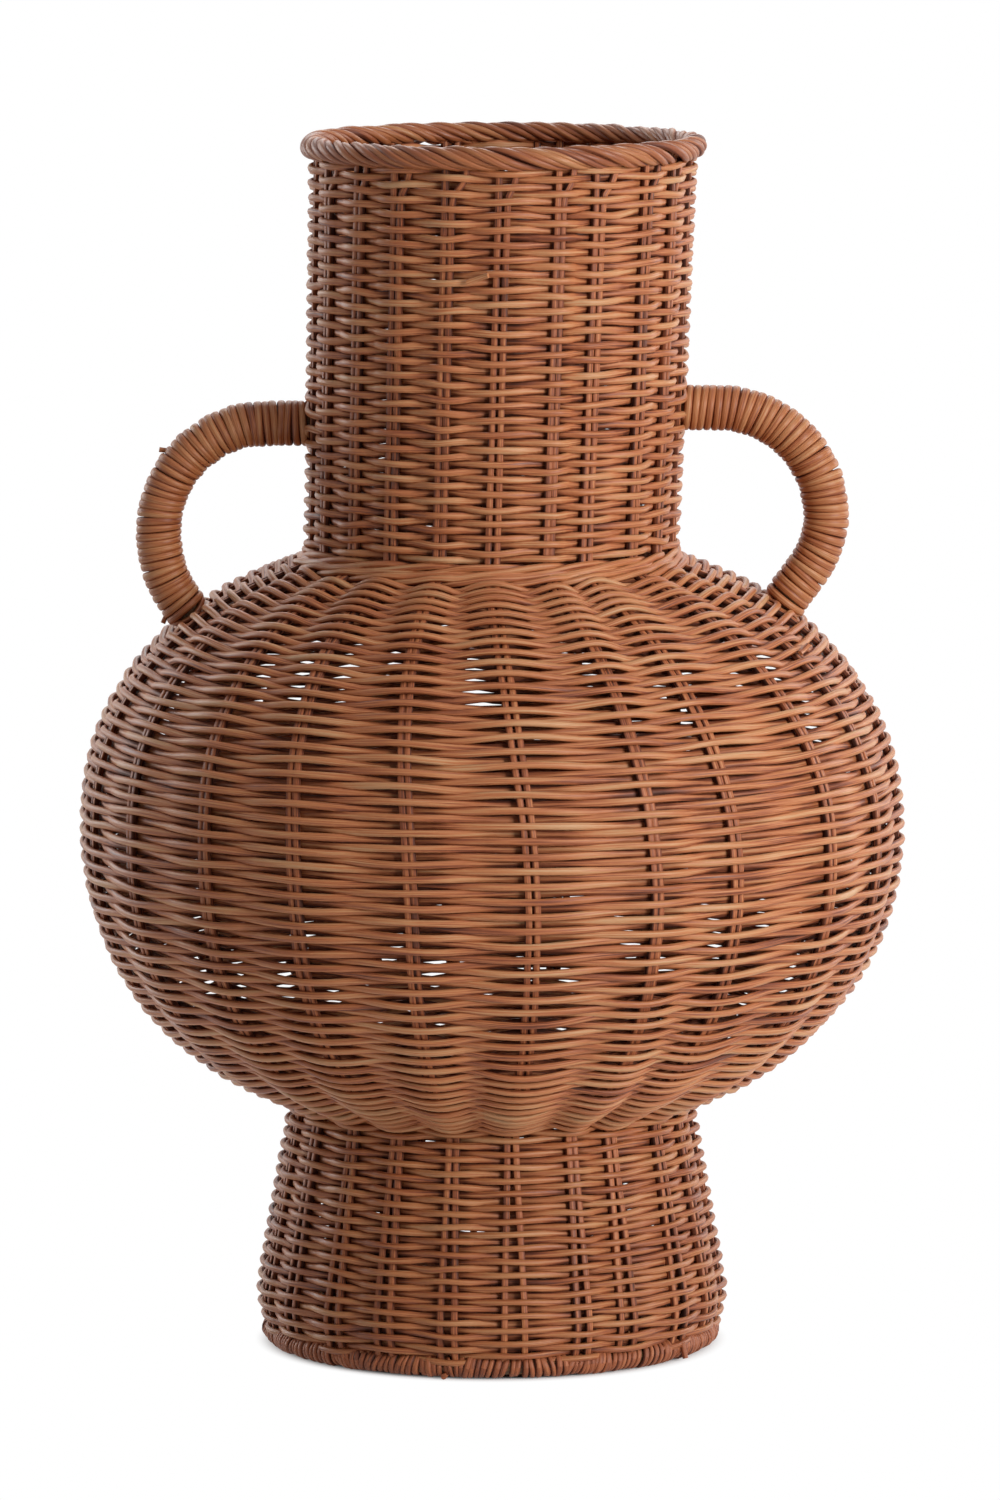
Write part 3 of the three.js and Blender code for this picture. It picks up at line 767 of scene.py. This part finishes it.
def handle_wrapping(handle, material):
    strands = Strands()
    start = handle.start - WRAP_START
    radius = handle.thickness / 2 + WRAP_THICK / 2
    winding(strands, handle, start, radius)
    lashing(strands, handle, radius)
    for share in CUT_ENDS[handle.name]:
        middle, along, out = handle.place(np.array([start + share * (handle.end - start)]))
        reach = np.array([[0], [CUT_END_LENGTH / 2], [CUT_END_LENGTH]])
        stub = middle + out * (radius + reach) + along * reach * CUT_END_SLANT
        strands.add(stub, along.repeat(len(stub), axis=0), CUT_END, CUT_END_THICK)
    strands.finish(f"{handle.name}_handle_wrapping", material, "rattan_wrap", f"{handle.name}_handle_wrap")


# Foot

class Hoop:
    """The foot hoop's middle line and thickness, and how far out the middle of its binding lies."""

    def __init__(self):
        hoop = corners_of("foot_hoop")
        self.radius = (radii(hoop).max() + radii(hoop).min()) / 2
        self.height = (hoop[:, 2].max() + hoop[:, 2].min()) / 2
        self.thickness = radii(hoop).max() - radii(hoop).min()
        self.bound = radii(corners_of("hoop_binding")).max() - self.radius - BINDING_THICK / 2


def foot_hoop(hoop, material):
    strands = Strands()
    around = np.linspace(0, TURN, STAKE_COUNT * STEPS_PER_STAKE + 1)
    height = np.full_like(around, hoop.height)
    path = np.column_stack([hoop.radius * np.cos(around), hoop.radius * np.sin(around), height])
    strands.add(path, path * [1, 1, 0], hoop.thickness, hoop.thickness, HOOP_SIDES, joined=True)
    strands.finish("foot_hoop_pole", material, "rattan_pole", "foot_hoop")


def binding_turn(strands, hoop, around, slant, size):
    """One turn round the hoop and back to its start."""
    section = np.linspace(0, TURN, BINDING_STEPS + 1)
    out = hoop.radius + size * np.cos(section)
    up = np.maximum(hoop.height + size * np.sin(section), BINDING_THICK / 2)
    turned = around + slant * size * np.sin(section) / hoop.radius
    path = np.column_stack([out * np.cos(turned), out * np.sin(turned), up])
    wide = np.column_stack([-np.sin(turned), np.cos(turned), slant * np.cos(section)])
    width = rng.uniform(*BINDING_WIDTHS)
    strands.add(path, wide, width, BINDING_THICK, BINDING_SIDES, joined=True, depth=BINDING_FACE)


def peg(strands, hoop, degrees, start, top):
    """A peg from its upper end out and down to the floor."""
    angle = math.radians(degrees)
    outward = np.array([math.cos(angle), math.sin(angle), 0])
    end = hoop.bound + PEG / 3 + PEG_LEAN * top
    path = np.array([(hoop.radius + start * hoop.bound) * outward, (hoop.radius + end) * outward])
    path[:, 2] = top, PEG / 2
    wide = np.cross(outward, [0, 0, 1])[None].repeat(len(path), axis=0)
    strands.add(path, wide, PEG, PEG)


def hoop_binding(wall, hoop, material):
    """Bundles of fine turns round the hoop, one bundle between each two stakes, and two pegs."""
    slants = ripple(*SLANT_WAVES)
    strands = Strands()
    for stake in range(STAKE_COUNT):
        for number in range(BINDING_TURNS):
            spread = (number + 0.5) / BINDING_TURNS - 0.5
            middle = stake + 0.5 + spread + rng.normal(0, BINDING_STRAY)
            change = slants(np.array([middle * STAKE_ANGLE]))[0] + spread
            slant = BINDING_SLANT + BINDING_SLANT_CHANGE * change + rng.normal(0, BINDING_SLANT_STRAY)
            around = wall.angle(np.array([middle]), wall.bottom)[0]
            size = hoop.bound * rng.uniform(*BINDING_SIZES) * (1 - BUNDLE_DIP * (2 * spread) ** 4)
            binding_turn(strands, hoop, around, slant, size)
    for place in PEGS:
        peg(strands, hoop, *place)
    strands.finish("hoop_binding_turns", material, "rattan_binding", "hoop_binding")


def woven_floor(material):
    """A flat round weave on spokes inside the foot."""
    floor = corners_of("woven_floor")
    edge = radii(floor).max()
    middle = (floor[:, 2].min() + floor[:, 2].max()) / 2
    swing = STRAND_THICK / 2 + SPOKE / 2
    strands = Strands()
    run = np.linspace(0, edge, SPOKE_POINTS)
    for spoke in range(STAKE_COUNT):
        angle = spoke * STAKE_ANGLE
        path = np.column_stack([run * math.cos(angle), run * math.sin(angle), np.full_like(run, middle)])
        strands.add(path, np.broadcast_to([0, 0, 1], path.shape), SPOKE, SPOKE)
    angle = np.linspace(0, TURN, STAKE_COUNT * FLOOR_STEPS + 1)
    for number, radius in enumerate(np.arange(edge - ROW_PITCH / 2, FLOOR_HOLE, -ROW_PITCH)):
        wave = (-1) ** number * np.cos(STAKE_COUNT * angle / 2)
        up = middle + swing * wave * eased(radius, *FLOOR_FLAT)
        path = np.column_stack([radius * np.cos(angle), radius * np.sin(angle), up])
        strands.add(path, path * [1, 1, 0], ROW_PITCH, STRAND_THICK, FLOOR_SIDES, joined=True)
    strands.finish("floor_weave", material, "rattan_weave", "woven_floor")


# Materials

class Nodes:
    """The nodes of a material or of the world."""

    def __init__(self, owner):
        owner.use_nodes = True
        self.nodes, self.links = owner.node_tree.nodes, owner.node_tree.links

    def feed(self, node, inputs):
        """Sets inputs of a node, or links them to what another node puts out."""
        for name, value in inputs.items():
            if isinstance(value, bpy.types.NodeSocket):
                self.links.new(value, node.inputs[name])
            else:
                node.inputs[name].default_value = value

    def add(self, kind, inputs, **settings):
        node = self.nodes.new("ShaderNode" + kind)
        for name, value in settings.items():
            setattr(node, name, value)
        self.feed(node, inputs)
        return node

    def attribute(self, name, output):
        return self.add("Attribute", {}, attribute_name=name).outputs[output]

    def calculated(self, operation, *values):
        return self.add("Math", dict(enumerate(values)), operation=operation).outputs["Value"]

    def ranged(self, value, source=(0, 1), target=(0, 1), way="LINEAR"):
        """A value moved from its range to another."""
        inputs = {"Value": value, "From Min": source[0], "From Max": source[1]}
        inputs |= {"To Min": target[0], "To Max": target[1]}
        return self.add("MapRange", inputs, interpolation_type=way).outputs["Result"]

    def fibre_noise(self, rates, detail):
        """Noise that changes at some rates in a metre along the fibre and across it."""
        fibre = self.attribute("fibre", "Vector")
        scaled = self.add("VectorMath", {0: fibre, 1: rates}, operation="MULTIPLY").outputs["Vector"]
        return self.add("TexNoise", {"Vector": scaled, "Scale": 1, "Detail": detail}).outputs["Fac"]

    def background_rays(self):
        """1 for the rays that see the background: from the camera, mirrored or let through."""
        kinds = self.add("LightPath", {}).outputs
        seen = self.calculated("MAXIMUM", kinds["Is Camera Ray"], kinds["Is Glossy Ray"])
        return self.calculated("MAXIMUM", seen, kinds["Is Transmission Ray"])


def linear(red, green, blue):
    """A colour written as 0 to 255 on screen, for a shader's socket."""
    return (*(((level / 255 + 0.055) / 1.055) ** 2.4 for level in (red, green, blue)), 1)


def shade_at(tree, place, shades):
    """The colour at a place from 0 to 1: the painted crease shade first, then the others."""
    node = tree.add("ValToRGB", {"Fac": place})
    elements = node.color_ramp.elements
    stops = [PAINTED_SHADE_STOP, *np.linspace(FIRST_STOP, 1, len(shades))]
    while len(elements) < len(stops):
        elements.new(0.5)
    for element, stop, shade in zip(elements, stops, [PAINTED_SHADE_COLOUR, *shades]):
        element.position = stop
        element.color = linear(*shade)
    return node.outputs["Color"]


def rattan(name, shades, roughness=0.4, streak_width=0.42 * MM, streak_share=1.2):
    """Stained rattan: a shade for each strand, slow changes along it, fibre streaks and their bump,
    and a painted shade that darkens the creases."""
    material = bpy.data.materials.new(name)
    tree = Nodes(material)
    crease = tree.attribute("crease", "Fac")
    streaks = tree.fibre_noise((STREAK_RATE, 1 / streak_width, 1 / streak_width), STREAK_DETAIL)
    patches = tree.fibre_noise(PATCH_RATES, PATCH_DETAIL)
    shade = tree.calculated("MULTIPLY_ADD", streaks, streak_share, patches)
    shade = tree.calculated("MULTIPLY_ADD", tree.attribute("tone", "Fac"), TONE_SHARE, shade)
    # Painted shade: darker towards the creases.
    shade = tree.calculated("MULTIPLY_ADD", crease, PAINTED_SHADE_SHARE, shade)
    usual = (streak_share + 1) / 2
    place = tree.ranged(shade, source=(usual - USUAL_STOP, usual - USUAL_STOP + 1))
    smooth, rough = (roughness + change for change in STREAK_ROUGHNESS)
    streak_roughness = tree.ranged(streaks, target=(smooth, rough))
    bump = tree.add("Bump", {"Height": streaks, "Strength": BUMP_STRENGTH, "Distance": BUMP_HEIGHT})
    tree.feed(tree.nodes["Principled BSDF"], {
        "Base Color": shade_at(tree, place, shades),
        "Roughness": tree.calculated("MULTIPLY_ADD", crease, CREASE_ROUGHNESS, streak_roughness),
        "Specular IOR Level": SHINE,
        "Normal": bump.outputs["Normal"],
    })
    return material


def pale_floor():
    """Matt where the shadow is. Farther out, rays that see the background find a white that
    needs no light."""
    material = bpy.data.materials.new("pale_floor")
    tree = Nodes(material)
    matt = tree.nodes["Principled BSDF"]
    tree.feed(matt, {"Base Color": STAGE_SHADE, "Roughness": STAGE_ROUGHNESS, "Specular IOR Level": 0})
    glow = tree.add("Emission", {"Color": WHITE, "Strength": 1})
    place = tree.add("NewGeometry", {}).outputs["Position"]
    distance = tree.add("VectorMath", {0: place}, operation="LENGTH").outputs["Value"]
    fade = tree.ranged(distance, source=SHADOW_FADE, way="SMOOTHSTEP")
    share = tree.calculated("MULTIPLY", fade, tree.background_rays())
    mix = tree.add("MixShader", {"Fac": share, 1: matt.outputs["BSDF"], 2: glow.outputs["Emission"]})
    tree.feed(tree.nodes["Material Output"], {"Surface": mix.outputs["Shader"]})
    return material


# Stage

def camera():
    data = bpy.data.cameras.new("camera")
    data.lens = CAMERA_LENS
    data.clip_end = CAMERA_FAR
    eye = bpy.data.objects.new("camera", data)
    eye.location = CAMERA_PLACE
    eye.rotation_euler = (math.pi / 2 - CAMERA_DOWN, 0, 0)
    bpy.context.scene.collection.objects.link(eye)
    bpy.context.scene.camera = eye


def lamp(name, place, size, watts):
    """A square lamp that is aimed at the middle of the vase."""
    data = bpy.data.lights.new(name, "AREA")
    data.size = size
    data.energy = watts
    light = bpy.data.objects.new(name, data)
    light.location = place
    target = Vector((0, 0, (cad_low.z + cad_high.z) / 2))
    light.rotation_euler = (target - light.location).to_track_quat("-Z", "Y").to_euler()
    bpy.context.scene.collection.objects.link(light)


def white_world():
    """White where it is seen as the background, and a faint light otherwise."""
    world = bpy.data.worlds.new("studio")
    bpy.context.scene.world = world
    tree = Nodes(world)
    strength = tree.ranged(tree.background_rays(), target=(AMBIENT, 1))
    tree.feed(tree.nodes["Background"], {"Color": WHITE, "Strength": strength})


def white_floor():
    """A white floor that keeps the vase's shadow near its foot."""
    ways = ((-1, -1), (1, -1), (1, 1), (-1, 1))
    corners = [(STAGE_REACH * x, STAGE_REACH * y, STAGE_HEIGHT) for x, y in ways]
    mesh = bpy.data.meshes.new("floor")
    mesh.from_pydata(corners, [], [(0, 1, 2, 3)])
    mesh.materials.append(pale_floor())
    floor = bpy.data.objects.new("floor", mesh)
    bpy.context.scene.collection.objects.link(floor)


# The vase

def pole_openings(wall, handles):
    """Openings that the rows leave for the handles: turn, distance down, opening and length."""
    found = []
    for handle in handles:
        for end in (handle.start, handle.end):
            spot = handle.place(np.array([end]))[0][0]
            down = wall.nearest(abs(spot[0]), spot[2])
            turn = math.atan2(0, spot[0]) - wall.first_angle - wall.read(wall.twist, down)
            found.append((turn % TURN, down, HANDLE_OPENING, HANDLE_OPENING_LENGTH))
    return np.array(found)


def woven_wall(wall, drift, material, foot_material):
    """The rows of neck, shoulder, belly and foot. Each row starts on the other side of the wall
    than the one above it."""
    joint = WALE_RISE + (WALE_BANDS + ROW_PITCH) / 2
    neck = rows_between(wall.top - ROW_PITCH, wall.neck_joint - joint)
    shoulder = rows_between(wall.neck_joint + joint, wall.belly)
    belly = rows_between(wall.belly, wall.waist)
    foot = rows_between(wall.waist, wall.bottom + ROWS_PAST_FOOT, FOOT_ROW_PITCH)
    side = 1
    for name, rows, height, rattan_kind, node in (
        ("neck_strands", neck, NECK_STRAND, material, "neck_weave"),
        ("shoulder_strands", shoulder, BODY_STRAND, material, "body_weave"),
        ("belly_strands", belly, BODY_STRAND, material, "body_weave"),
        ("foot_strands", foot, FOOT_STRAND, foot_material, "foot_weave"),
    ):
        weave(wall, drift, name, rows, side, height, rattan_kind, node)
        side *= (-1) ** len(rows)


weave_rattan = rattan("stained_rattan_weave", WEAVE_SHADES)
foot_rattan = rattan("stained_rattan_foot", DARKER_SHADES)
stake_rattan = rattan("stained_rattan_stakes", STAKE_SHADES,
                      roughness=0.42, streak_width=0.6 * MM, streak_share=1.5)
rim_rattan = rattan("stained_rattan_rim", RIM_SHADES,
                    roughness=0.36, streak_width=0.7 * MM, streak_share=0.6)
wrap_rattan = rattan("stained_split_rattan", DARKER_SHADES)
binding_rattan = rattan("fine_split_rattan", BINDING_SHADES,
                        roughness=0.5, streak_width=0.6 * MM, streak_share=0.8)
pole_rattan = rattan("bare_rattan_pole", POLE_SHADES, roughness=0.55, streak_width=0.9 * MM)

wall = Wall()
handles = [Handle("left"), Handle("right")]
woven_wall(wall, Drift(wall, pole_openings(wall, handles)), weave_rattan, foot_rattan)
waling(wall, weave_rattan)
stake_canes(wall, stake_rattan)
rolled_rim(rim_rattan)
for handle in handles:
    handle_pole(handle, pole_rattan)
    handle_wrapping(handle, wrap_rattan)
hoop = Hoop()
foot_hoop(hoop, pole_rattan)
hoop_binding(wall, hoop, binding_rattan)
woven_floor(weave_rattan)
loose_ends(wall, weave_rattan)

camera()
for name, (place, size, watts) in LAMPS.items():
    lamp(name, place, size, watts)
white_world()
white_floor()
bpy.context.scene.view_settings.view_transform = "Standard"
